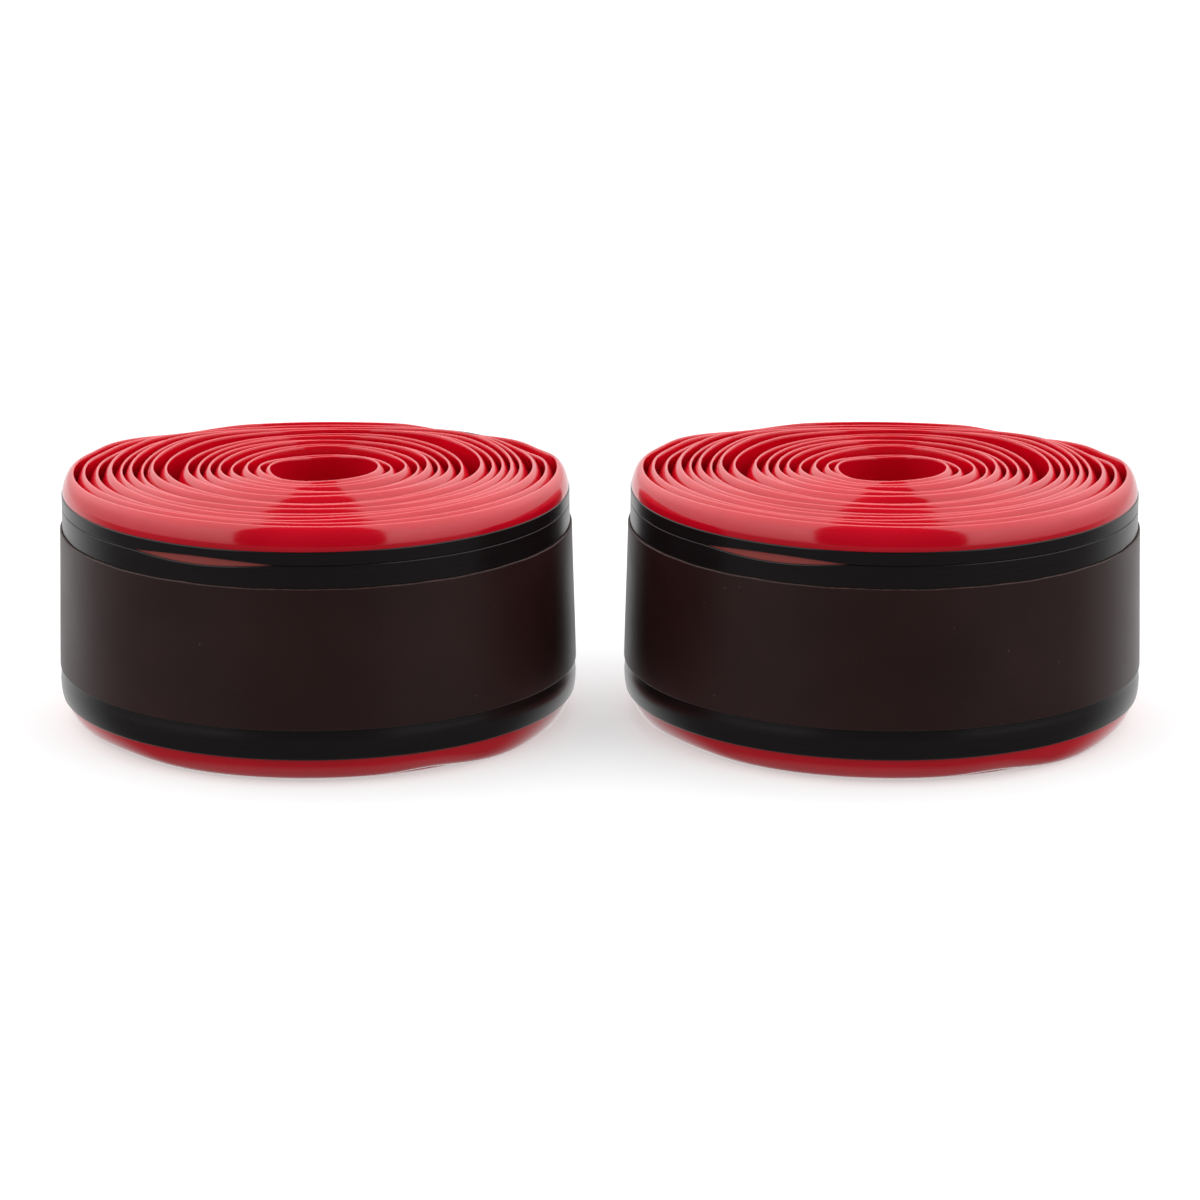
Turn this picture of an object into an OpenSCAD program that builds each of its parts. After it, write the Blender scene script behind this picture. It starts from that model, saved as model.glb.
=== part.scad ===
// A pair of bicycle tyre liners, each rolled up standing on its edge.
// Each roll is one long flexible strip wound into a spiral, thick in the middle
// and thinned to feathered edges that lean inwards at the top and the bottom.
// Three flat bands hold a roll shut: a narrow black one above a wide black one,
// and a brown one round the wide black one. Each band can be pushed up and off.
// Millimetres, +Z up, the front of the pair towards -Y, and z = 0 at the table.

/* [Pair] */
// Distance between the axes of the two rolls
roll_spacing = 91; // [86:0.5:140]
// Angle by which each roll is turned towards the middle of the pair
toe_in = 2.5; // [0:0.5:20]

/* [Liner strip] */
// Height of the strip, standing on its edge
strip_h = 41; // [34:0.5:50]
// Thickness of the strip in its middle
strip_t = 1.8; // [1.2:0.05:1.9]
// Thickness of the strip at its feathered edges
edge_t = 0.5; // [0.3:0.05:0.9]
// Height of the feathered part at the top
rim_top_h = 3.8; // [2.5:0.1:6]
// Height of the feathered part at the bottom
rim_low_h = 4.2; // [2.5:0.1:6]
// How far the top edge leans in over the face below it
lean_top = 0.2; // [0:0.1:2.5]
// How far the bottom edge leans in under the face above it
lean_low = 0.8; // [0:0.1:3]

/* [Winding] */
// Radius of the open eye, at the middle of the strip's height
eye_r = 8.15; // [7:0.05:14]
// Turns in the tight inner group
inner_turns = 8; // [4:1:12]
// Turns in the looser outer group
outer_turns = 8; // [2:1:10]
// Radius gained in each turn of the inner group
inner_pitch = 1.98; // [1.95:0.01:2.4]
// Radius gained in each turn of the outer group
outer_pitch = 2; // [1.95:0.01:2.4]
// Extra space between the two groups of turns
group_gap = 0.4; // [0:0.1:1.2]
// Direction of the strip's outer end, measured round from the right
end_dir = 68; // [50:1:130]

/* [Bands] */
// Height above the table where the black bands begin
black_low_z = 4.2; // [4:0.1:6]
// Height of the wide black band
wide_black_h = 30.7; // [24:0.1:32]
// Height of the narrow black band
narrow_black_h = 2.1; // [1.5:0.1:2.2]
// Gap between the two black bands
black_gap = 0.15; // [0.1:0.05:0.3]
// Thickness of the black bands
black_t = 0.3; // [0.25:0.05:0.6]
// Height of the brown band
brown_h = 22.4; // [12:0.1:24]
// Height of the brown band's lower edge above that of the wide black band
brown_rise = 4.8; // [2:0.1:6]
// Thickness of the brown band
brown_t = 0.3; // [0.25:0.05:0.6]
// Clearance under each band
band_clear = 0.15; // [0.1:0.05:0.3]

/* [Dip in the wide black band] */
// Direction of the dip's middle, measured round from the front
dip_dir = -25; // [-60:1:60]
// Length of the dip along the band's top edge
dip_len = 24; // [10:1:30]
// Depth of the dip
dip_depth = 1.7; // [0.8:0.1:2.5]

/* [Hidden] */
$fn = 144;

red = [0.80, 0.06, 0.10];
black = [0.11, 0.10, 0.10];
brown = [0.17, 0.11, 0.10];

// The spiral is a chain of half turns. Each half turn is wider than the last, and
// its centre moves along the X axis so that it starts where the last one ended.
first_outer = 2 * inner_turns;
last = 2 * (inner_turns + outer_turns) - 1;

function step(k) =
    (k < first_outer ? inner_pitch : outer_pitch) / 2
    + (k == first_outer ? group_gap : 0);
function half_r(k) = k == 0 ? eye_r : half_r(k - 1) + step(k);
function half_x(k) = k == 0 ? 0 : half_x(k - 1) + (k % 2 == 1 ? step(k) : -step(k));

// The two outermost half turns, whose outer faces carry the bands
outer_r = half_r(last) + strip_t;
outer_x = half_x(last);
under_r = half_r(last - 1) + strip_t;
under_x = half_x(last - 1);
mid_x = (outer_x + under_x) / 2;

// The outermost turn makes each roll wider to the left and the back, so the
// pair is moved by this much to put the middle of its box on the Z axis
box_shift = (outer_r - under_r) / 2;

// How far the outer face comes in on its way to each edge
tuck_top = strip_t + lean_top - edge_t;
tuck_low = strip_t + lean_low - edge_t;

// Past the strip's end a band runs straight on until it meets the turn below
end_x = outer_x + outer_r;
fall_angle = acos(under_r / (end_x - under_x));

narrow_black_z = black_low_z + wide_black_h + black_gap;
brown_z = black_low_z + brown_rise;
black_top_z = black_low_z + wide_black_h;
dip_r = (pow(dip_len / 2, 2) + pow(dip_depth, 2)) / (2 * dip_depth);

// Cross-section of the strip, with its inner face at x = 0
module strip_section() {
    polygon([
        [-lean_low, 0],
        [-lean_low + edge_t, 0],
        [strip_t - 0.35 * tuck_low, 0.4 * rim_low_h],
        [strip_t, rim_low_h],
        [strip_t, strip_h - rim_top_h],
        [strip_t - 0.35 * tuck_top, strip_h - 0.4 * rim_top_h],
        [-lean_top + edge_t, strip_h],
        [-lean_top, strip_h],
        [0, strip_h - 1.5 * rim_top_h],
        [0, 1.5 * rim_low_h]
    ]);
}

// The half turns of one group that lie on one side, from the eye outwards.
// They share a centre, because the pitch stays the same within a group.
module half_turns(first_turn, final_turn) {
    translate([half_x(first_turn), 0, 0])
        rotate([0, 0, first_turn % 2 == 1 ? 180 : 0])
            rotate_extrude(angle = 180)
                for (k = [first_turn:2:final_turn])
                    translate([half_r(k), 0])
                        strip_section();
}

// One strip, wound up from the eye outwards
module liner_strip() {
    color(red) {
        half_turns(0, first_outer - 1);
        half_turns(1, first_outer - 1);
        half_turns(first_outer, last);
        half_turns(first_outer + 1, last);
    }
}

// The round block that fills the wound strip and stands d proud of it
module wrapped_block(d, z, h) {
    reach = outer_r + d + 1;
    translate([0, 0, z]) {
        intersection() {
            translate([outer_x, 0, 0])
                cylinder(r = outer_r + d, h = h);
            translate([outer_x - reach, -reach, 0])
                cube([2 * reach, reach, h]);
        }
        intersection() {
            translate([under_x, 0, 0])
                cylinder(r = under_r + d, h = h);
            translate([under_x - reach, 0, 0])
                cube([2 * reach, reach, h]);
        }
        translate([end_x, 0, 0])
            cylinder(r = d, h = h);
        linear_extrude(height = h)
            polygon([
                [under_x, 0],
                [end_x, 0],
                [end_x + d * cos(fall_angle), d * sin(fall_angle)],
                [under_x + (under_r + d) * cos(fall_angle), (under_r + d) * sin(fall_angle)]
            ]);
    }
}

// A flat band round the roll, d clear of the strip and t thick
module band(d, t, z, h) {
    difference() {
        wrapped_block(d + t, z, h);
        wrapped_block(d, z - 1, h + 2);
    }
}

// Wide black band, whose top edge dips and shows the red strip behind it
module wide_black_band() {
    color(black)
    difference() {
        band(band_clear, black_t, black_low_z, wide_black_h);
        translate([mid_x, 0, black_top_z + dip_r - dip_depth])
            rotate([90, 0, 180 + end_dir - dip_dir])
                cylinder(r = dip_r, h = outer_r + 5);
    }
}

module narrow_black_band() {
    color(black)
    band(band_clear, black_t, narrow_black_z, narrow_black_h);
}

module brown_band() {
    color(brown)
    band(2 * band_clear + black_t, brown_t, brown_z, brown_h);
}

// Puts a roll in its place, side -1 for the left one and 1 for the right one.
// The mirror makes the strip wind outwards clockwise, seen from above.
module roll_place(side) {
    translate([side * roll_spacing / 2 + box_shift, -box_shift, 0])
        rotate([0, 0, end_dir - side * toe_in])
            mirror([0, 1, 0])
                translate([-mid_x, 0, 0])
                    children();
}

module left_liner_strip() { roll_place(-1) liner_strip(); }
module left_wide_black_band() { roll_place(-1) wide_black_band(); }
module left_narrow_black_band() { roll_place(-1) narrow_black_band(); }
module left_brown_band() { roll_place(-1) brown_band(); }
module right_liner_strip() { roll_place(1) liner_strip(); }
module right_wide_black_band() { roll_place(1) wide_black_band(); }
module right_narrow_black_band() { roll_place(1) narrow_black_band(); }
module right_brown_band() { roll_place(1) brown_band(); }

left_liner_strip();
left_wide_black_band();
left_narrow_black_band();
left_brown_band();
right_liner_strip();
right_wide_black_band();
right_narrow_black_band();
right_brown_band();
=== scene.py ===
"""Looks for a pair of rolled bicycle tyre liners.

Each roll is a glossy red strip wound up on its edge, held shut by two black bands and a brown one.
A roll is shaped in millimetres about its own axis, with its front towards -Y, and is put in its
place in metres when a mesh is made.
"""

import math

import bpy
import numpy as np
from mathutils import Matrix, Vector, geometry


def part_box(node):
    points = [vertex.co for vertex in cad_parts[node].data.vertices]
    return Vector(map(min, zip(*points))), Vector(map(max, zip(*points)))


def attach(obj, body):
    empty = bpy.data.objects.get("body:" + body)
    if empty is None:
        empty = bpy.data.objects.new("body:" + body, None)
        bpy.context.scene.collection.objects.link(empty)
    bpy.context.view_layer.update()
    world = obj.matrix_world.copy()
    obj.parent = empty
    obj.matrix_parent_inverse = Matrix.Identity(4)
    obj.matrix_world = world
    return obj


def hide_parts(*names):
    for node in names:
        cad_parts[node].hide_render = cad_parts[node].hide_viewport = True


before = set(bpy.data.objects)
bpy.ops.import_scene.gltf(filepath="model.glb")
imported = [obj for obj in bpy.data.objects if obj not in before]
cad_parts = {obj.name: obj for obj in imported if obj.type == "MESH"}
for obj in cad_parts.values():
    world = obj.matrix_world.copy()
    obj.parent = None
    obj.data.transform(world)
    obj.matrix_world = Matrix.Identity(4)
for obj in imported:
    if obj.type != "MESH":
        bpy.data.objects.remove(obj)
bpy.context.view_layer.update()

MM = 0.001
TAU = 2 * math.pi
SIDES = ("left", "right")

# How far each roll is turned towards the middle of the pair
TOE_IN = math.radians(2.5)

# The strip's outer end, measured anticlockwise from the right, seen from above
END_DIR = math.radians(63)

# The strip, in millimetres: its turns, its thickness in the middle and at its edges, the radius of
# the eye, and the heights of the rounded rims
TURNS = 16.56
BODY_T = 1.55
EDGE_T = 0.42
EYE_R = 8.2
RIM_TOP = 4.2
RIM_LOW = 4.2
STEPS_PER_TURN = 128

# How squarely the rims are rounded
TOP_ROUNDING = 0.65
LOW_ROUNDING = 0.6

# The turns over which the strip's start is pared down, over which the winding's waves die out,
# and over which the last turn takes its own shape
START_LENGTH = 0.35
CALM = (TURNS - 1.8, TURNS - 1.0)
LAST_TURN = (TURNS - 1.25, TURNS - 0.75)

# How far in from its edges the section has closely spaced points, leans, and changes height
CLOSE_ZONE = 9.0
LEAN_ZONE = 7.5
HEIGHT_ZONE = 7

# The last turn is a little thicker at its top rim, and spreads outwards towards the bottom
RIM_BULGE = 0.35
SPLAY = 0.7

# A spiral is narrower half a turn back, so its end lies this far outside half the roll's width
END_REACH = 0.85

# How far the turns' middles lie to the right of the roll's middle, and the inner ones further
POLE_X = 0.45
INNER_POLE_X = 0.6

# Waves: height in millimetres, waves in a turn, and how far they drift in each turn in radians
WINDING_WAVES = ((0.11, 2, 2.3), (0.09, 3, -1.7))
TOP_WAVES = ((0.12, 2, 1.6), (0.09, 3, -1.1))

# Waves in the outer turn's bottom edge: direction from the front and half width in degrees,
# and how far the edge is raised
BOTTOM_WAVES = ((26, 8, 0.4), (47, 11, -0.5), (-52, 13, 0.4), (150, 20, 0.3), (-125, 16, -0.3))
BOTTOM_LIFT = 0.5
BOTTOM_RIPPLE = 0.08

# Extra space between the inner and the outer group of turns, at the back and at the front, the
# turns over which it opens, and the turn from which it closes again
BACK_GAP = 2.4
FRONT_GAP = 0.2
GAP_OPENS = (7.5, 8.3)
SECOND_GROUP = 8.6

# How far the strip's edges lean inwards: the least, and how much more in places
TOP_LEAN = (0.10, 0.40)
LOW_LEAN = (0.2, 0.15)

# How far the top edges lie below the strip's height at the front of a roll, half way back, and at
# its back, and where the back begins and ends as a part of the roll's radius
FRONT_DROP = 0.3
MIDDLE_DROP = 0.4
BACK_DROP = 2.7
BACK_RANGE = (0.42, 1.05)

# How much lower still the outer turns lie at the back left and the back right, and where: how far
# aside and back as parts of the roll's radius, and in which turns
LEFT_DROP = 0.8
RIGHT_DROP = 1.3
DROP_ASIDE = (0.3, 0.62)
DROP_BEHIND = (0.05, 0.4)
DROP_TURNS = (12.5, 15.0)

# How much lower the innermost turns lie behind the eye, over which turns that fades out, and how
# much lower the strip's start is
EYE_DROP = 0.65
EYE_TURNS = (0.5, 4)
START_DROP = 0.8

# How much higher the second group begins at the back, over how many turns, and how unevenly high
# the turns are
CREST = 0.45
CREST_TURNS = 0.7
UNEVEN = 0.25

# The bands, in millimetres. TALL is the least height of a band that gets rows in its middle
BLACK_T = 0.30
BROWN_T = 0.32
TOUCH = 0.03
BAND_GAP = 0.05
BAND_STEPS = 360
TALL = 6
NEAR_EDGE_ROWS = (0.2, 0.45, 1.2)
MIDDLE_ROWS = (0.08, 0.12, 0.16, 0.3, 0.5, 0.7, 0.85)

# The leaf-shaped opening between the black bands: where its middle lies from the front, half its
# length along the band, and how far each band draws back
LEAF_DIR = math.radians(-26)
LEAF_REACH = 13.0
LEAF_DEPTH = 0.62

# How far the wide black band bulges below the brown one
BLACK_SWELL = 0.28

# How far the narrow black band's top edge rides up, and where this starts and ends, from the front
NARROW_LIFT = 0.9
LIFT_START = (math.radians(92), math.radians(115))
LIFT_END = (math.radians(140), math.radians(160))

# How uneven the brown band's top edge is
BROWN_UNEVEN = 0.05

# Colours
RED = ((0.65, 0.0012, 0.014), (0.71, 0.0028, 0.019))
# Painted shade and sheen: the darker, paler red given to the outer turn's face under the bands
SHADE_SHEEN_RED = (0.42, 0.080, 0.070)
BLACK = ((0.0085, 0.0060, 0.0065), (0.0115, 0.0085, 0.0090))
BROWN = ((0.0270, 0.0080, 0.0078), (0.0320, 0.0098, 0.0094))
SPECK = (0.09, 0.065, 0.06)
CUT_EDGE = ((0.040, 0.016, 0.013), (0.088, 0.041, 0.034))

# The plastics' refractive indices and their least and greatest roughness
LINER_IOR = 1.5
FILM_IOR = 1.42
LINER_ROUGH = (0.09, 0.16)
BLACK_ROUGH = (0.22, 0.27)
BROWN_ROUGH = (0.36, 0.44)
CUT_EDGE_ROUGH = 0.5

# Fine lines: how many features to the metre along a piece and across it
LINER_LINES = (12, 2600)
BLACK_LINES = (60, 3500)
CUT_EDGE_LINES = (900, 200)

# Clouds, grain and specks to the metre, and a speck's radius as a part of its cell
LINER_CLOUDS = 90.0
BROWN_CLOUDS = 60.0
BROWN_GRAIN = 2500.0
BROWN_SPECKS = 200.0
SPECK_R = (0.018, 0.042)

# The floor: half its side in metres, its grey, and how brightly it glows
FLOOR_REACH = 6.0
FLOOR_GREY = 0.6
FLOOR_GLOW = 0.5

# The studio's ceiling panels, overhead and low down, how high up they are brightest, and the dark
# gap between them, as mirrored and as lighting
PANEL = 1.76
PANEL_LOW = 0.8
PANEL_TOP = 0.65
DARK = 0.02
SOFT_DARK = 0.22

# Below the horizon: the mirrored front, the mirrored floor, the light that the floor throws up,
# and where the front ends, the floor begins and the ceiling begins
FRONT_BELOW = 0.16
FLOOR_BELOW = 0.5
BOUNCE = 0.33
FRONT_TO_BACK = (0.1, 0.8)
STRAIGHT_DOWN = (-0.9, -0.6)
HORIZON = (-0.06, 0.0)

# The gap's width, how much it opens to the front, and how soft its edges are
GAP_WIDTH = 0.155
GAP_OPENING = 0.62
GAP_EDGE = 0.03

# The camera, in metres, and its lens in millimetres
CAMERA_DISTANCE = 0.75
CAMERA_ELEVATION = math.radians(15.8)
LOOK_AT_Z = 0.0182
LENS = 139.4


def node_box(node):
    """A CAD node's lowest and highest corner, in millimetres."""
    low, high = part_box(node)
    return np.array(low) / MM, np.array(high) / MM


def smooth(x, start, end):
    """0 before start, 1 after end, and a smooth rise between them."""
    t = np.clip((x - start) / (end - start), 0, 1)
    return t * t * (3 - 2 * t)


LINER_LOW, LINER_HIGH = node_box("left_liner_strip")
HEIGHT = LINER_HIGH[2] - LINER_LOW[2]
OUTER_R = (LINER_HIGH[0] - LINER_LOW[0]) / 2


# ------------------------------------------------------------ the winding


def direction(turn):
    """The way this point of the strip lies from the axis. The strip winds outwards clockwise."""
    return END_DIR + (TURNS - turn) * TAU


def start_taper(turn):
    """1 at the strip's inner end, which is pared down to lie flat on the next turn, then 0."""
    return 1 - smooth(turn, 0, START_LENGTH)


def waves(a, turn, table):
    """The sum of a table's waves in this direction of this turn."""
    return sum(height * np.sin(count * a + drift * turn) for height, count, drift in table)


def inner_r(turn):
    """Radius of the strip's inner face, with small waves that differ from turn to turn."""
    a = direction(turn)
    reach = OUTER_R - BODY_T + END_REACH
    pitch = (reach - EYE_R) / TURNS
    r = EYE_R + pitch * turn + (pitch - EDGE_T) * start_taper(turn)
    space = FRONT_GAP + (BACK_GAP - FRONT_GAP) * (0.5 + 0.5 * np.sin(a)) ** 1.5
    closing = np.clip((turn - SECOND_GROUP) / (TURNS - SECOND_GROUP - 0.6), 0, 1)
    r = r + space * smooth(turn, *GAP_OPENS) * (1 - closing)
    loose = 1 - smooth(turn, *CALM)
    return r + waves(a, turn, WINDING_WAVES) * loose * (0.75 - 0.25 * np.sin(a))


def pole(turn):
    """The middle of this turn. The inner turns lie a little to the right."""
    x = POLE_X + INNER_POLE_X * (1 - smooth(turn, 0, TURNS))
    return np.stack([x, 0 * x], -1)


def outline(turn, proud):
    """Points of the strip's outer face, this far proud of it."""
    a = direction(turn)
    r = inner_r(turn) + BODY_T + proud
    return pole(turn) + np.stack([r * np.cos(a), r * np.sin(a)], -1)


# ------------------------------------------------------------ the strip's cross-section


def section_heights():
    """Heights of the section's points from the bottom edge to the top one, closer at the edges."""
    low = CLOSE_ZONE * np.linspace(0, 1, 12) ** 1.3
    high = HEIGHT - low[::-1]
    return np.concatenate([low, [HEIGHT / 2], high])


HEIGHTS = section_heights()


def splay_at(z):
    """How far the outer turn spreads outwards, towards the bottom."""
    return SPLAY * (1 - smooth(z, 3, HEIGHT - RIM_TOP))


def section(turn):
    """The strip's cross-section at each of these turns: x out from the inner face, and z."""
    turn = np.asarray(turn)[:, None]
    a = direction(turn)
    z = HEIGHTS[None, :] + 0 * turn
    last = smooth(turn, *LAST_TURN)

    up = np.clip((z - (HEIGHT - RIM_TOP)) / RIM_TOP, 0, 1)
    down = np.clip((RIM_LOW - z) / RIM_LOW, 0, 1)
    full = BODY_T - (BODY_T - EDGE_T) * start_taper(turn)
    bulge = RIM_BULGE * last * smooth(z, HEIGHT - RIM_TOP - 0.2, HEIGHT - RIM_TOP + 0.6)
    round_top = (1 - up**2.0) ** TOP_ROUNDING
    round_low = (1 - down**2.0) ** LOW_ROUNDING
    splay = last * splay_at(z)
    thick = EDGE_T + (full + bulge + splay - EDGE_T) * round_top * round_low

    sway = 0.5 + 0.5 * np.sin(0.5 * a + 2.1 * turn)
    lean_top = TOP_LEAN[0] + TOP_LEAN[1] * sway * (1 - 0.5 * last)
    lean_low = LOW_LEAN[0] + LOW_LEAN[1] * np.sin(2 * a + 1.0)
    bend = smooth(z, HEIGHT - LEAN_ZONE, HEIGHT + 3) * 2
    tuck = smooth(-z, -LEAN_ZONE, 3) * 2
    inner = -lean_top * bend - lean_low * tuck

    rise = smooth(z, HEIGHT - HEIGHT_ZONE, HEIGHT)
    fall = 1 - smooth(z, 0, HEIGHT_ZONE)
    back = inner_r(turn) * np.sin(a) / OUTER_R
    drop = FRONT_DROP + MIDDLE_DROP * (1 - np.abs(back)) + BACK_DROP * smooth(back, *BACK_RANGE)
    hump = np.exp(-(((turn - SECOND_GROUP) / CREST_TURNS) ** 2))
    crest = CREST * np.clip(back, 0, 1) * hump
    wave = waves(a, turn, TOP_WAVES)
    uneven = UNEVEN * np.sin(2.9 * turn + 0.4) * (1 - last)
    aside = inner_r(turn) * np.abs(np.cos(a)) / OUTER_R
    loose_rim = smooth(aside, *DROP_ASIDE) * smooth(back, *DROP_BEHIND) * smooth(turn, *DROP_TURNS)
    drop = drop + loose_rim * np.where(np.cos(a) > 0, RIGHT_DROP, LEFT_DROP)
    drop = drop + EYE_DROP * np.clip(np.sin(a), 0, 1) * (1 - smooth(turn, *EYE_TURNS))
    z = z + rise * (wave + uneven + crest - drop - START_DROP * start_taper(turn))
    front = a + TAU / 4
    low_wave = BOTTOM_LIFT + BOTTOM_RIPPLE * np.sin(3 * front + 1)
    for middle, half_width, height in BOTTOM_WAVES:
        off = (front - math.radians(middle) + math.pi) % TAU - math.pi
        low_wave = low_wave + height * np.exp(-((off / math.radians(half_width)) ** 2))
    z = z + fall * last * low_wave
    outer = inner + thick
    return inner, outer, z


def strip_mesh(side):
    """The whole strip, swept along its winding."""
    count = int(TURNS * STEPS_PER_TURN) + 1
    turn = np.linspace(0, TURNS, count)
    inner, outer, z = section(turn)
    tip_top = np.stack([(inner[:, -1] + outer[:, -1]) / 2, z[:, -1] + EDGE_T * 0.35], -1)
    tip_low = np.stack([(inner[:, 0] + outer[:, 0]) / 2, z[:, 0]], -1)
    ring_x = np.concatenate([inner, tip_top[:, :1], outer[:, ::-1], tip_low[:, :1]], 1)
    ring_z = np.concatenate([z, tip_top[:, 1:], z[:, ::-1], tip_low[:, 1:]], 1)

    a = direction(turn)
    r = inner_r(turn)[:, None] + ring_x
    middle = pole(turn)
    x = middle[:, :1] + r * np.cos(a)[:, None]
    y = middle[:, 1:] + r * np.sin(a)[:, None]
    points = np.stack([x, y, np.maximum(ring_z, 0)], -1)

    along = np.concatenate([[0], np.cumsum(np.hypot(*np.diff(points[:, 0, :2], axis=0).T))])
    final = np.stack([ring_x[-1], ring_z[-1]], -1)
    steps = np.hypot(*np.diff(np.vstack([final, final[:1]]), axis=0).T)
    girth = np.concatenate([[0], np.cumsum(steps)])
    obj = sweep(f"{side}_liner", side, points, along, girth, closed=False)

    # The outer turn's face under the bands, between its two rims, gets painted shade and sheen: a
    # darker, paler red
    outer_face = np.arange(ring_x.shape[1]) > len(HEIGHTS)
    below_rim = smooth(-ring_z, RIM_TOP - HEIGHT, RIM_TOP - HEIGHT + 0.3)
    shaded = below_rim * smooth(ring_z, RIM_LOW, RIM_LOW + 0.4)
    painted_shade_sheen = shaded * outer_face * (turn[:, None] > TURNS - 1.1)
    attribute = obj.data.attributes.new("painted_shade_sheen", "FLOAT", "POINT")
    attribute.data.foreach_set("value", painted_shade_sheen.ravel())
    return obj


# ------------------------------------------------------------ meshes


def place(side, points):
    """Points about a roll's own axis, in millimetres, to the frame in metres."""
    low, high = node_box(f"{side}_liner_strip")
    middle = (low + high) / 2
    toe = TOE_IN if side == "left" else -TOE_IN
    c, s = math.cos(toe), math.sin(toe)
    x = points[..., 0] * c - points[..., 1] * s + middle[0]
    y = points[..., 0] * s + points[..., 1] * c + middle[1]
    return np.stack([x, y, points[..., 2]], -1) * MM


def sweep(name, side, points, along, girth, closed):
    """A mesh through rings of points, with a UV map that runs along and across it."""
    count, ring = points.shape[:2]
    verts = place(side, points).reshape(-1, 3)
    spans = count if closed else count - 1
    i = np.arange(spans)[:, None]
    j = np.arange(ring)[None, :]
    k = (i + 1) % count
    m = (j + 1) % ring
    faces = np.stack([i * ring + j, k * ring + j, k * ring + m, i * ring + m], -1).reshape(-1, 4)
    faces = faces.tolist()
    if not closed:
        faces.append(list(range(ring)))
        faces.append([(count - 1) * ring + q for q in range(ring)][::-1])

    mesh = bpy.data.meshes.new(name)
    mesh.from_pydata(verts.tolist(), [], faces)
    uv = mesh.uv_layers.new(name="strip")
    u = np.stack([along[i] + 0 * j, along[i + 1] + 0 * j, along[i + 1] + 0 * j, along[i] + 0 * j], -1)
    v = np.stack([girth[j] + 0 * i, girth[j] + 0 * i, girth[j + 1] + 0 * i, girth[j + 1] + 0 * i], -1)
    loops = np.stack([u, v], -1).reshape(-1, 2) * MM
    data = np.zeros((len(mesh.loops), 2))
    data[: len(loops)] = loops
    uv.data.foreach_set("uv", data.ravel())
    mesh.polygons.foreach_set("use_smooth", [True] * len(mesh.polygons))
    mesh.update()
    obj = bpy.data.objects.new(name, mesh)
    bpy.context.collection.objects.link(obj)
    return obj


def band_path(proud):
    """A closed loop round the roll, this far proud of the strip.

    Past the strip's outer end it runs straight on until it meets the turn below. Gives its points,
    their outward normals, how far along each lies, and the loop's whole length.
    """
    turn = np.linspace(TURNS - 1.4, TURNS, 700)
    cloud = outline(turn, proud)
    hull = geometry.convex_hull_2d([Vector(p) for p in cloud])
    loop = cloud[np.array(hull)]
    closed = np.vstack([loop, loop[:1]])
    travel = np.concatenate([[0], np.cumsum(np.hypot(*np.diff(closed, axis=0).T))])
    at = np.linspace(0, travel[-1], BAND_STEPS, endpoint=False)
    path = np.stack([np.interp(at, travel, closed[:, q]) for q in (0, 1)], -1)
    weights = np.array([1, 2, 3, 2, 1]) / 9
    path = sum(w * np.roll(path, q, axis=0) for w, q in zip(weights, range(-2, 3)))
    tangent = np.roll(path, -1, axis=0) - np.roll(path, 1, axis=0)
    normal = np.stack([tangent[:, 1], -tangent[:, 0]], -1)
    normal /= np.linalg.norm(normal, axis=1)[:, None]
    if (normal * path).sum() < 0:
        normal = -normal
    return path, normal, at, travel[-1]


def from_front(points):
    """The angle of each point from the roll's front, positive to the right."""
    return np.arctan2(points[:, 0], -points[:, 1])


def band_mesh(name, side, proud, thick, low, high, swell, film, edge):
    """A flat band with one material on its faces and one on its narrow edges.

    low and high give its edges, and swell its bulge, for angles from the front.
    """
    path, normal, at, length = band_path(proud)
    front = from_front(path)
    z_low, z_high = low(front), high(front)
    soft = min(thick * 0.35, 0.1)
    tall = (z_high - z_low).min() > TALL
    near_edge = (soft, *(NEAR_EDGE_ROWS if tall else NEAR_EDGE_ROWS[:2]))
    rows = [z_low + step for step in near_edge]
    if tall:
        rows += [z_low + (z_high - z_low) * part for part in MIDDLE_ROWS]
    rows += [z_high - step for step in near_edge[::-1]]
    outside = [(thick + splay_at(z) + swell(front, z), z) for z in rows]
    outside = [(outside[0][0] - soft, z_low)] + outside + [(outside[-1][0] - soft, z_high)]
    inner_rows = [z_low + (z_high - z_low) * part for part in (1, 0.75, 0.5, 0.25, 0)]
    rings = outside + [(splay_at(z), z) for z in inner_rows]
    points = np.stack(
        [np.concatenate([path + normal * off[:, None], z[:, None]], 1) for off, z in rings], 1
    )
    across = np.concatenate([z.mean(keepdims=True) for _, z in rings] + [[0.0]])
    along = np.append(at, length)
    obj = sweep(name, side, points, along, across, closed=True)

    # The narrow faces along the two edges take the second material
    ring = len(rings)
    edge_rows = (0, len(outside) - 2, len(outside) - 1, ring - 1)
    slots = [1 if j in edge_rows else 0 for j in range(ring)] * BAND_STEPS
    obj.data.polygons.foreach_set("material_index", slots)
    obj.data.materials.append(film)
    obj.data.materials.append(edge)
    return obj


# ------------------------------------------------------------ materials


class Nodes:
    """A new material with a Principled shader, and short ways to add nodes to it."""

    def __init__(self, name):
        self.material = bpy.data.materials.new(name)
        self.material.use_nodes = True
        self.tree = self.material.node_tree
        self.shader = self.tree.nodes["Principled BSDF"]

    def add(self, kind, **values):
        node = self.tree.nodes.new(kind)
        for key, value in values.items():
            if key in node.inputs:
                node.inputs[key].default_value = value
            else:
                setattr(node, key, value)
        return node

    def link(self, a, out, b, into):
        self.tree.links.new(a.outputs[out], b.inputs[into])

    def set(self, **values):
        for key, value in values.items():
            self.shader.inputs[key.replace("_", " ")].default_value = value


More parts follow.
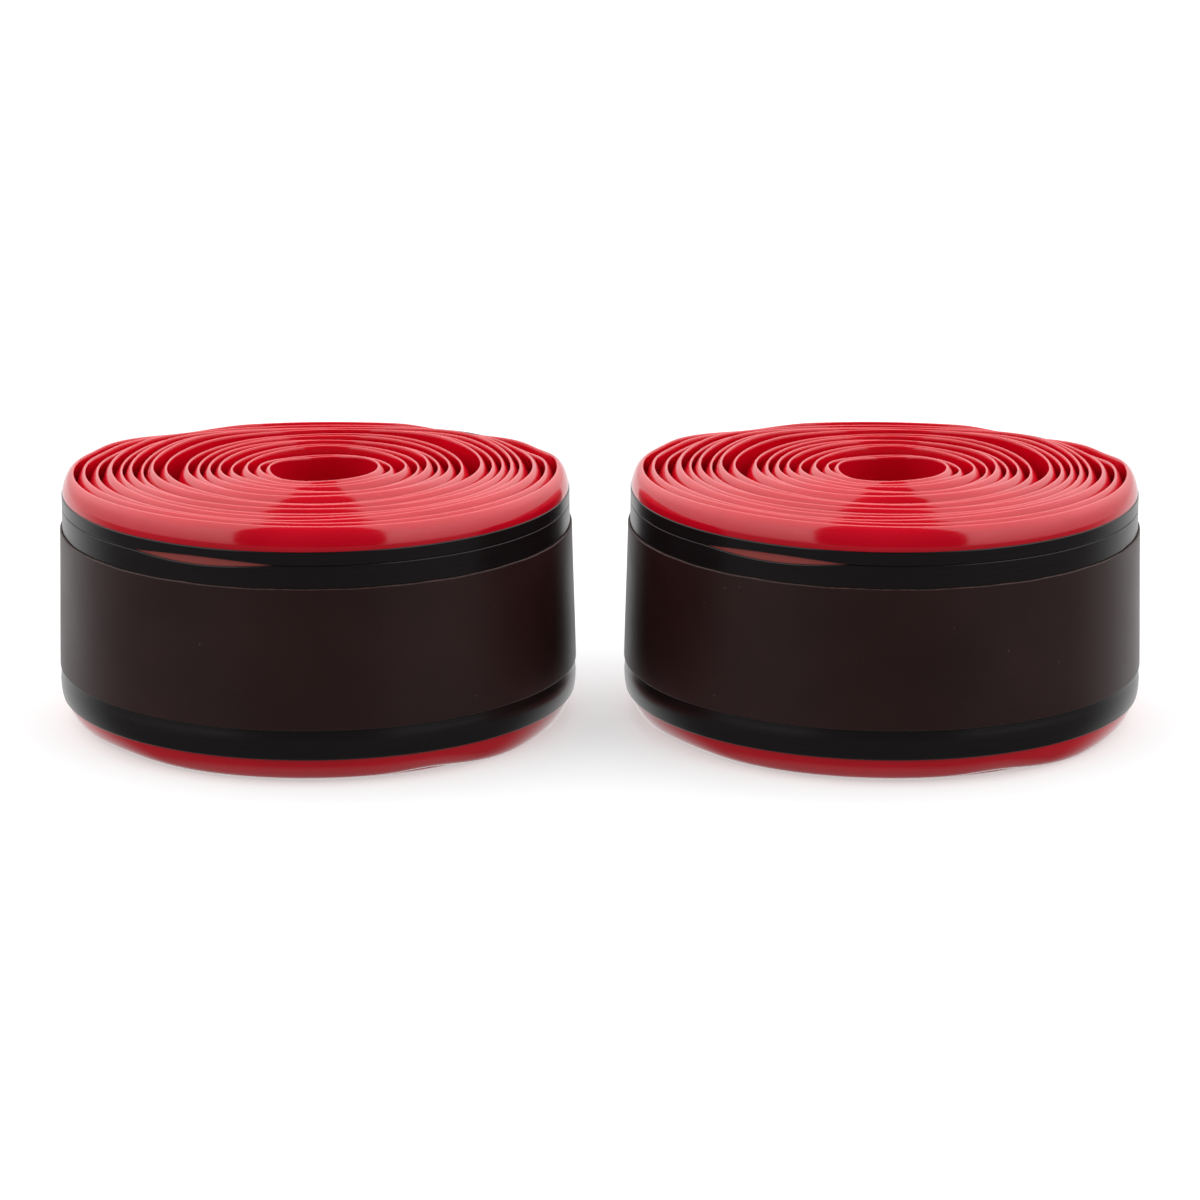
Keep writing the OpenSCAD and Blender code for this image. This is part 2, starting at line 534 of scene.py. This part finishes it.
def streaks(n, along, across, detail):
    """Noise that is long along the strip and fine across it."""
    coords = n.add("ShaderNodeTexCoord")
    stretch = n.add("ShaderNodeMapping")
    stretch.inputs["Scale"].default_value = (along, across, 1)
    n.link(coords, "UV", stretch, "Vector")
    noise = n.add("ShaderNodeTexNoise", Scale=1.0, Detail=detail)
    n.link(stretch, "Vector", noise, "Vector")
    return noise


def ramp(n, source, out, low, high, at_low, at_high):
    """Maps a grey value to the range low to high."""
    node = n.add("ShaderNodeMapRange")
    node.inputs["From Min"].default_value = at_low
    node.inputs["From Max"].default_value = at_high
    node.inputs["To Min"].default_value = low
    node.inputs["To Max"].default_value = high
    n.link(source, out, node, "Value")
    return node


def mix_colours(n, factor, out, first, second):
    """A colour that goes from first to second with the factor."""
    node = n.add("ShaderNodeMix", data_type="RGBA")
    node.inputs[6].default_value = (*first, 1)
    node.inputs[7].default_value = (*second, 1)
    n.link(factor, out, node, 0)
    return node


def liner_material():
    """Glossy red polyurethane with faint lines along it from the extruder's die."""
    n = Nodes("red_polyurethane")
    clouds = n.add("ShaderNodeTexNoise", Scale=LINER_CLOUDS, Detail=2.0)
    coords = n.add("ShaderNodeTexCoord")
    n.link(coords, "Object", clouds, "Vector")
    tone = ramp(n, clouds, "Fac", 0, 1, 0.3, 0.7)
    colour = mix_colours(n, tone, "Result", *RED)
    # Painted shade and sheen: the outer turn's face under the bands takes a darker, paler red
    painted_shade_sheen = n.add("ShaderNodeAttribute", attribute_name="painted_shade_sheen")
    shade_sheen_mix = n.add("ShaderNodeMix", data_type="RGBA")
    n.link(painted_shade_sheen, "Fac", shade_sheen_mix, 0)
    n.link(colour, 2, shade_sheen_mix, 6)
    shade_sheen_mix.inputs[7].default_value = (*SHADE_SHEEN_RED, 1)
    n.link(shade_sheen_mix, 2, n.shader, "Base Color")
    lines = streaks(n, *LINER_LINES, 3)
    bump = n.add("ShaderNodeBump", Strength=0.04, Distance=0.0001)
    n.link(lines, "Fac", bump, "Height")
    n.link(bump, "Normal", n.shader, "Normal")
    rough = ramp(n, lines, "Fac", *LINER_ROUGH, 0.3, 0.7)
    n.link(rough, "Result", n.shader, "Roughness")
    n.set(IOR=LINER_IOR, Coat_Weight=0.25, Coat_Roughness=0.05)
    n.set(Subsurface_Weight=0.12, Subsurface_Scale=0.001)
    n.shader.inputs["Subsurface Radius"].default_value = (1.0, 0.10, 0.08)
    return n.material


def black_material():
    """Satin black plastic film, faintly streaked along its length."""
    n = Nodes("black_film")
    lines = streaks(n, *BLACK_LINES, 4)
    tone = ramp(n, lines, "Fac", 0, 1, 0.35, 0.7)
    colour = mix_colours(n, tone, "Result", *BLACK)
    n.link(colour, 2, n.shader, "Base Color")
    rough = ramp(n, lines, "Fac", *BLACK_ROUGH, 0.3, 0.7)
    n.link(rough, "Result", n.shader, "Roughness")
    bump = n.add("ShaderNodeBump", Strength=0.05, Distance=0.0001)
    n.link(lines, "Fac", bump, "Height")
    n.link(bump, "Normal", n.shader, "Normal")
    n.set(IOR=FILM_IOR)
    return n.material


def brown_material():
    """Smooth dark brown film with a scatter of tiny pale specks."""
    n = Nodes("brown_film")
    coords = n.add("ShaderNodeTexCoord")
    clouds = n.add("ShaderNodeTexNoise", Scale=BROWN_CLOUDS, Detail=3.0)
    n.link(coords, "Object", clouds, "Vector")
    tone = ramp(n, clouds, "Fac", 0, 1, 0.35, 0.65)
    base = mix_colours(n, tone, "Result", *BROWN)
    specks = n.add("ShaderNodeTexVoronoi", Scale=BROWN_SPECKS)
    n.link(coords, "Object", specks, "Vector")
    dots = ramp(n, specks, "Distance", 1, 0, *SPECK_R)
    pale = n.add("ShaderNodeMix", data_type="RGBA")
    n.link(dots, "Result", pale, 0)
    n.link(base, 2, pale, 6)
    pale.inputs[7].default_value = (*SPECK, 1)
    n.link(pale, 2, n.shader, "Base Color")
    grain = n.add("ShaderNodeTexNoise", Scale=BROWN_GRAIN, Detail=2.0)
    n.link(coords, "Object", grain, "Vector")
    bump = n.add("ShaderNodeBump", Strength=0.06, Distance=0.0001)
    n.link(grain, "Fac", bump, "Height")
    n.link(bump, "Normal", n.shader, "Normal")
    rough = ramp(n, clouds, "Fac", *BROWN_ROUGH, 0.3, 0.7)
    n.link(rough, "Result", n.shader, "Roughness")
    n.set(IOR=FILM_IOR)
    return n.material


def cut_edge_material():
    """The brown film's cut edge, paler than its face."""
    n = Nodes("brown_cut_edge")
    lines = streaks(n, *CUT_EDGE_LINES, 3)
    tone = ramp(n, lines, "Fac", 0, 1, 0.35, 0.7)
    colour = mix_colours(n, tone, "Result", *CUT_EDGE)
    n.link(colour, 2, n.shader, "Base Color")
    n.set(Roughness=CUT_EDGE_ROUGH, IOR=FILM_IOR)
    return n.material


# ------------------------------------------------------------ the pieces


def level(height):
    """A band's edge that lies at the same height all round."""
    return lambda front: height + 0 * front


def no_swell(front, z):
    """The swell of a band that lies flat."""
    return 0 * front


def leaf(front):
    """1 in the middle of the leaf-shaped opening between the black bands, 0 past its ends."""
    off = (front - LEAF_DIR) * OUTER_R / LEAF_REACH
    return np.clip(1 - off**2, 0, 1) ** 1.4


def wide_black_band(side, film):
    """The wide black band. Its top edge dips at the front left, and it bulges below the brown one."""
    low = node_box(f"{side}_wide_black_band")[0][2]
    brown_low = node_box(f"{side}_brown_band")[0][2]
    narrow_low = node_box(f"{side}_narrow_black_band")[0][2]

    def top(front):
        return narrow_low - BAND_GAP - LEAF_DEPTH * leaf(front)

    def swell(front, z):
        hollow = (z - (low + brown_low) / 2) / (brown_low - low) * 2
        return BLACK_SWELL * np.clip(1 - hollow**2, 0, 1)

    name = f"{side}_wide_black"
    return band_mesh(name, side, TOUCH, BLACK_T, level(low), top, swell, film, film)


def narrow_black_band(side, film):
    """The narrow black band. It rides up a little at the back right."""
    low, high = node_box(f"{side}_narrow_black_band")

    def lift(front):
        return NARROW_LIFT * smooth(front, *LIFT_START) * (1 - smooth(front, *LIFT_END))

    def bottom(front):
        return low[2] + LEAF_DEPTH * leaf(front) + 0.4 * lift(front)

    def top(front):
        return high[2] + lift(front)

    name = f"{side}_narrow_black"
    return band_mesh(name, side, TOUCH, BLACK_T, bottom, top, no_swell, film, film)


def brown_band(side, film, cut_edge):
    """The brown band, with a slightly uneven top edge."""
    low, high = node_box(f"{side}_brown_band")

    def top(front):
        return high[2] + BROWN_UNEVEN * np.sin(9 * front) * np.sin(23 * front + 1)

    name = f"{side}_brown"
    proud = TOUCH * 2 + BLACK_T
    return band_mesh(name, side, proud, BROWN_T, level(low[2]), top, no_swell, film, cut_edge)


def build_roll(side, red, black, brown, cut_edge):
    """One roll's four pieces, each riding on its body in place of its CAD node."""
    strip = strip_mesh(side)
    strip.data.materials.append(red)
    for obj, node, body, slot in (
        (strip, "liner_strip", "roll", "liner"),
        (wide_black_band(side, black), "wide_black_band", "wide_band", "black_band"),
        (narrow_black_band(side, black), "narrow_black_band", "narrow_band", "black_band"),
        (brown_band(side, brown, cut_edge), "brown_band", "outer_band", "brown_band"),
    ):
        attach(obj, f"{side}_{body}")
        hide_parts(f"{side}_{node}")


# ------------------------------------------------------------ stage, light and camera


def build_floor():
    """A plain pale floor, lit from within, that the pieces don't mirror."""
    n = Nodes("pale_floor")
    n.set(Roughness=0.9)
    n.shader.inputs["Base Color"].default_value = (FLOOR_GREY, FLOOR_GREY, FLOOR_GREY, 1)
    n.set(Specular_IOR_Level=0.0, Emission_Strength=FLOOR_GLOW)
    n.shader.inputs["Emission Color"].default_value = (1, 1, 1, 1)
    mesh = bpy.data.meshes.new("floor")
    corners = [(FLOOR_REACH * x, FLOOR_REACH * y, 0) for x, y in ((-1, -1), (1, -1), (1, 1), (-1, 1))]
    mesh.from_pydata(corners, [], [(0, 1, 2, 3)])
    mesh.materials.append(n.material)
    floor = bpy.data.objects.new("floor", mesh)
    bpy.context.collection.objects.link(floor)
    floor.visible_glossy = False
    floor.visible_diffuse = False


class WorldMath:
    """Short ways to add arithmetic nodes to the world's shader."""

    def __init__(self, tree):
        self.tree = tree

    def add(self, kind, *inputs, **settings):
        node = self.tree.nodes.new(kind)
        for key, value in settings.items():
            setattr(node, key, value)
        for socket, value in zip(node.inputs, inputs):
            if isinstance(value, bpy.types.NodeSocket):
                self.tree.links.new(value, socket)
            else:
                socket.default_value = value
        return node.outputs[0]

    def math(self, operation, *inputs):
        return self.add("ShaderNodeMath", *inputs, operation=operation)

    def fade(self, value, start, end, at_start, at_end):
        """at_start before start, at_end after end, and a smooth change between them."""
        inputs = (value, start, end, at_start, at_end)
        return self.add("ShaderNodeMapRange", *inputs, interpolation_type="SMOOTHSTEP")


def build_world():
    """A white studio: two wide ceiling panels with a dark gap that opens to the front.

    The background behind the object is plain white.
    """
    world = bpy.data.worlds.new("studio")
    world.use_nodes = True
    w = WorldMath(world.node_tree)
    back = world.node_tree.nodes["Background"]
    coords = world.node_tree.nodes.new("ShaderNodeTexCoord")
    split = world.node_tree.nodes.new("ShaderNodeSeparateXYZ")
    world.node_tree.links.new(coords.outputs["Generated"], split.inputs[0])
    x, y, z = split.outputs

    aside = w.math("ABSOLUTE", x)
    opening = w.math("MULTIPLY", y, GAP_OPENING)
    width = w.math("MULTIPLY", z, -GAP_WIDTH)
    beyond_gap = w.math("ADD", w.math("ADD", aside, opening), width)
    panel = w.fade(z, 0.0, PANEL_TOP, PANEL_LOW, PANEL)
    paths = world.node_tree.nodes.new("ShaderNodeLightPath")
    soft = paths.outputs["Is Diffuse Ray"]
    dark = w.math("ADD", DARK, w.math("MULTIPLY", soft, SOFT_DARK - DARK))
    ceiling = w.math("MULTIPLY", panel, w.fade(beyond_gap, 0.0, GAP_EDGE, dark, 1.0))
    mirrored = w.fade(y, *FRONT_TO_BACK, FRONT_BELOW, 1.0)
    straight_down = w.fade(z, *STRAIGHT_DOWN, FLOOR_BELOW, 0.0)
    mirrored = w.math("MAXIMUM", mirrored, straight_down)
    below = w.math("MULTIPLY", mirrored, w.math("SUBTRACT", 1.0, soft))
    below = w.math("ADD", below, w.math("MULTIPLY", soft, BOUNCE))
    seen = w.fade(z, *HORIZON, 0.0, 1.0)
    upper = w.math("MULTIPLY", ceiling, seen)
    lower = w.math("MULTIPLY", below, w.math("SUBTRACT", 1.0, seen))
    studio = w.math("ADD", upper, lower)

    direct = paths.outputs["Is Camera Ray"]
    rest = w.math("MULTIPLY", studio, w.math("SUBTRACT", 1.0, direct))
    total = w.math("ADD", rest, direct)
    world.node_tree.links.new(total, back.inputs["Color"])
    back.inputs["Strength"].default_value = 1.0
    bpy.context.scene.world = world


def build_camera():
    """A long lens from the front, looking down a little."""
    look_at = Vector((0, 0, LOOK_AT_Z))
    camera = bpy.data.cameras.new("camera")
    camera.lens = LENS
    camera.sensor_width = 36
    obj = bpy.data.objects.new("camera", camera)
    away = Vector((0, -math.cos(CAMERA_ELEVATION), math.sin(CAMERA_ELEVATION)))
    obj.location = look_at + away * CAMERA_DISTANCE
    obj.rotation_euler = (-away).to_track_quat("-Z", "Y").to_euler()
    bpy.context.collection.objects.link(obj)
    bpy.context.scene.camera = obj


build_camera()
build_world()
build_floor()
materials = (liner_material(), black_material(), brown_material(), cut_edge_material())
for roll in SIDES:
    build_roll(roll, *materials)
bpy.context.scene.view_settings.view_transform = "Standard"
